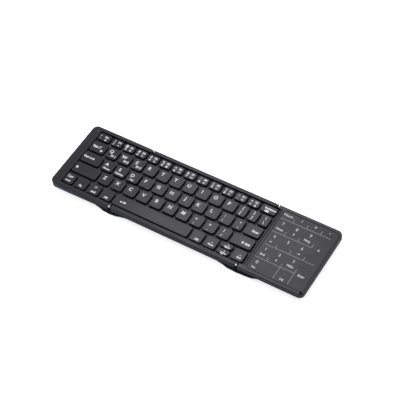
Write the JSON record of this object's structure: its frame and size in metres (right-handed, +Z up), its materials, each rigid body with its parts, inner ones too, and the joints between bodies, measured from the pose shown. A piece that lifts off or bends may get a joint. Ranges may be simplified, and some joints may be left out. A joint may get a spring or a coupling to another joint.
{
  "type": "folding keyboard",
  "caption": "Three-section folding keyboard with low keys on the centre and left wing, a touchpad number pad on the right wing, and a leather back that wraps both hinges.",
  "frame": {"origin": "centre of the underside of the open keyboard, on the surface its two leather spines stand on", "axes": "+X along the keyboard towards the touchpad, +Y from the front edge to the number row, +Z up out of the keys"},
  "size_m": [0.3362, 0.0964, 0.0131],
  "materials": {
    "tray_plastic": "moulded matte black ABS",
    "frame_plastic": "soft-touch coated dark grey ABS",
    "rail_trim": "satin dark grey moulding",
    "key_plastic": "fine matte dark grey ABS",
    "deck_steel": "black painted steel",
    "membrane_rubber": "black silicone",
    "leather": "navy blue grained leather",
    "pad_glass": "dark printed glass, satin",
    "board": "green solder mask",
    "battery_foil": "pouch foil",
    "steel_pin": "polished steel",
    "steel_arm": "black oxide steel",
    "port_steel": "nickel plated steel",
    "flex_film": "amber polyimide film",
    "bumper_rubber": "black rubber"
  },
  "bodies": {
    "centre": {"centre_tray": "tray_plastic", "centre_deck": "deck_steel", "centre_rails": "rail_trim", "centre_membrane": "membrane_rubber", "centre_leather": "leather", "hinge_pins": "steel_pin", "centre_hinge_arms": "steel_arm"},
    "left_wing": {"left_tray": "tray_plastic", "left_deck": "deck_steel", "left_bezel": "frame_plastic", "left_membrane": "membrane_rubber", "left_leather": "leather", "left_bumper": "bumper_rubber", "left_hinge_arms": "steel_arm"},
    "right_wing": {"right_tray": "tray_plastic", "right_bezel": "frame_plastic", "touchpad_glass": "pad_glass", "touch_sensor_board": "board", "battery": "battery_foil", "main_board": "board", "usb_port": "port_steel", "right_leather": "leather", "right_bumper": "bumper_rubber", "right_hinge_arms": "steel_arm"},
    "left_spine": {"left_spine": "leather", "left_flex_cable": "flex_film"},
    "right_spine": {"right_spine": "leather", "right_flex_cable": "flex_film"},
    "key_q": {"key_q": "key_plastic"},
    "key_w": {"key_w": "key_plastic"},
    "key_e": {"key_e": "key_plastic"},
    "key_r": {"key_r": "key_plastic"},
    "key_t": {"key_t": "key_plastic"},
    "key_y": {"key_y": "key_plastic"},
    "key_u": {"key_u": "key_plastic"},
    "key_i": {"key_i": "key_plastic"},
    "key_o": {"key_o": "key_plastic"},
    "key_p": {"key_p": "key_plastic"},
    "key_a": {"key_a": "key_plastic"},
    "key_s": {"key_s": "key_plastic"},
    "key_d": {"key_d": "key_plastic"},
    "key_f": {"key_f": "key_plastic"},
    "key_g": {"key_g": "key_plastic"},
    "key_h": {"key_h": "key_plastic"},
    "key_j": {"key_j": "key_plastic"},
    "key_k": {"key_k": "key_plastic"},
    "key_l": {"key_l": "key_plastic"},
    "key_z": {"key_z": "key_plastic"},
    "key_x": {"key_x": "key_plastic"},
    "key_c": {"key_c": "key_plastic"},
    "key_v": {"key_v": "key_plastic"},
    "key_b": {"key_b": "key_plastic"},
    "key_n": {"key_n": "key_plastic"},
    "key_m": {"key_m": "key_plastic"},
    "key_space": {"key_space": "key_plastic"},
    "key_enter": {"key_enter": "key_plastic"},
    "left_number_keys": {"left_number_keys": "key_plastic"},
    "left_side_keys": {"left_side_keys": "key_plastic"},
    "number_keys": {"number_keys": "key_plastic"},
    "side_keys": {"side_keys": "key_plastic"}
  },
  "joints": [
    {"name": "left_wing_fold", "type": "hinge", "parent": "centre", "child": "left_wing", "pos_m": [-0.0847, 0, 0.01155], "axis": [0, 1, 0], "range_deg": [0, 179.8]},
    {"name": "right_wing_fold", "type": "hinge", "parent": "centre", "child": "right_wing", "pos_m": [0.0847, 0, 0.01155], "axis": [0, -1, 0], "range_deg": [0, 179.8]},
    {"name": "left_spine_wrap", "type": "hinge", "parent": "centre", "child": "left_spine", "pos_m": [-0.0847, 0, 0.01155], "axis": [0, 1, 0], "range_deg": [0, 90]},
    {"name": "right_spine_wrap", "type": "hinge", "parent": "centre", "child": "right_spine", "pos_m": [0.0847, 0, 0.01155], "axis": [0, -1, 0], "range_deg": [0, 90]},
    {"name": "key_q_press", "type": "slide", "parent": "left_wing", "child": "key_q", "axis": [0, 0, -1], "range_m": [0, 0.0016], "stiffness_N_per_m": 150, "springref_m": -0.001},
    {"name": "key_w_press", "type": "slide", "parent": "left_wing", "child": "key_w", "axis": [0, 0, -1], "range_m": [0, 0.0016], "stiffness_N_per_m": 150, "springref_m": -0.001},
    {"name": "key_e_press", "type": "slide", "parent": "left_wing", "child": "key_e", "axis": [0, 0, -1], "range_m": [0, 0.0016], "stiffness_N_per_m": 150, "springref_m": -0.001},
    {"name": "key_r_press", "type": "slide", "parent": "centre", "child": "key_r", "axis": [0, 0, -1], "range_m": [0, 0.0016], "stiffness_N_per_m": 150, "springref_m": -0.001},
    {"name": "key_t_press", "type": "slide", "parent": "centre", "child": "key_t", "axis": [0, 0, -1], "range_m": [0, 0.0016], "stiffness_N_per_m": 150, "springref_m": -0.001},
    {"name": "key_y_press", "type": "slide", "parent": "centre", "child": "key_y", "axis": [0, 0, -1], "range_m": [0, 0.0016], "stiffness_N_per_m": 150, "springref_m": -0.001},
    {"name": "key_u_press", "type": "slide", "parent": "centre", "child": "key_u", "axis": [0, 0, -1], "range_m": [0, 0.0016], "stiffness_N_per_m": 150, "springref_m": -0.001},
    {"name": "key_i_press", "type": "slide", "parent": "centre", "child": "key_i", "axis": [0, 0, -1], "range_m": [0, 0.0016], "stiffness_N_per_m": 150, "springref_m": -0.001},
    {"name": "key_o_press", "type": "slide", "parent": "centre", "child": "key_o", "axis": [0, 0, -1], "range_m": [0, 0.0016], "stiffness_N_per_m": 150, "springref_m": -0.001},
    {"name": "key_p_press", "type": "slide", "parent": "centre", "child": "key_p", "axis": [0, 0, -1], "range_m": [0, 0.0016], "stiffness_N_per_m": 150, "springref_m": -0.001},
    {"name": "key_a_press", "type": "slide", "parent": "left_wing", "child": "key_a", "axis": [0, 0, -1], "range_m": [0, 0.0016], "stiffness_N_per_m": 150, "springref_m": -0.001},
    {"name": "key_s_press", "type": "slide", "parent": "left_wing", "child": "key_s", "axis": [0, 0, -1], "range_m": [0, 0.0016], "stiffness_N_per_m": 150, "springref_m": -0.001},
    {"name": "key_d_press", "type": "slide", "parent": "left_wing", "child": "key_d", "axis": [0, 0, -1], "range_m": [0, 0.0016], "stiffness_N_per_m": 150, "springref_m": -0.001},
    {"name": "key_f_press", "type": "slide", "parent": "centre", "child": "key_f", "axis": [0, 0, -1], "range_m": [0, 0.0016], "stiffness_N_per_m": 150, "springref_m": -0.001},
    {"name": "key_g_press", "type": "slide", "parent": "centre", "child": "key_g", "axis": [0, 0, -1], "range_m": [0, 0.0016], "stiffness_N_per_m": 150, "springref_m": -0.001},
    {"name": "key_h_press", "type": "slide", "parent": "centre", "child": "key_h", "axis": [0, 0, -1], "range_m": [0, 0.0016], "stiffness_N_per_m": 150, "springref_m": -0.001},
    {"name": "key_j_press", "type": "slide", "parent": "centre", "child": "key_j", "axis": [0, 0, -1], "range_m": [0, 0.0016], "stiffness_N_per_m": 150, "springref_m": -0.001},
    {"name": "key_k_press", "type": "slide", "parent": "centre", "child": "key_k", "axis": [0, 0, -1], "range_m": [0, 0.0016], "stiffness_N_per_m": 150, "springref_m": -0.001},
    {"name": "key_l_press", "type": "slide", "parent": "centre", "child": "key_l", "axis": [0, 0, -1], "range_m": [0, 0.0016], "stiffness_N_per_m": 150, "springref_m": -0.001},
    {"name": "key_z_press", "type": "slide", "parent": "left_wing", "child": "key_z", "axis": [0, 0, -1], "range_m": [0, 0.0016], "stiffness_N_per_m": 150, "springref_m": -0.001},
    {"name": "key_x_press", "type": "slide", "parent": "left_wing", "child": "key_x", "axis": [0, 0, -1], "range_m": [0, 0.0016], "stiffness_N_per_m": 150, "springref_m": -0.001},
    {"name": "key_c_press", "type": "slide", "parent": "centre", "child": "key_c", "axis": [0, 0, -1], "range_m": [0, 0.0016], "stiffness_N_per_m": 150, "springref_m": -0.001},
    {"name": "key_v_press", "type": "slide", "parent": "centre", "child": "key_v", "axis": [0, 0, -1], "range_m": [0, 0.0016], "stiffness_N_per_m": 150, "springref_m": -0.001},
    {"name": "key_b_press", "type": "slide", "parent": "centre", "child": "key_b", "axis": [0, 0, -1], "range_m": [0, 0.0016], "stiffness_N_per_m": 150, "springref_m": -0.001},
    {"name": "key_n_press", "type": "slide", "parent": "centre", "child": "key_n", "axis": [0, 0, -1], "range_m": [0, 0.0016], "stiffness_N_per_m": 150, "springref_m": -0.001},
    {"name": "key_m_press", "type": "slide", "parent": "centre", "child": "key_m", "axis": [0, 0, -1], "range_m": [0, 0.0016], "stiffness_N_per_m": 150, "springref_m": -0.001},
    {"name": "key_space_press", "type": "slide", "parent": "centre", "child": "key_space", "axis": [0, 0, -1], "range_m": [0, 0.0016], "stiffness_N_per_m": 150, "springref_m": -0.001},
    {"name": "key_enter_press", "type": "slide", "parent": "centre", "child": "key_enter", "axis": [0, 0, -1], "range_m": [0, 0.0016], "stiffness_N_per_m": 150, "springref_m": -0.001},
    {"name": "left_number_keys_press", "type": "slide", "parent": "left_wing", "child": "left_number_keys", "axis": [0, 0, -1], "range_m": [0, 0.0016], "stiffness_N_per_m": 300, "springref_m": -0.001},
    {"name": "left_side_keys_press", "type": "slide", "parent": "left_wing", "child": "left_side_keys", "axis": [0, 0, -1], "range_m": [0, 0.0016], "stiffness_N_per_m": 300, "springref_m": -0.001},
    {"name": "number_keys_press", "type": "slide", "parent": "centre", "child": "number_keys", "axis": [0, 0, -1], "range_m": [0, 0.0016], "stiffness_N_per_m": 300, "springref_m": -0.001},
    {"name": "side_keys_press", "type": "slide", "parent": "centre", "child": "side_keys", "axis": [0, 0, -1], "range_m": [0, 0.0016], "stiffness_N_per_m": 300, "springref_m": -0.001}
  ],
  "couplings": [
    {"joint": "left_spine_wrap", "follows": "left_wing_fold", "ratio": 0.5},
    {"joint": "right_spine_wrap", "follows": "right_wing_fold", "ratio": 0.5}
  ]
}
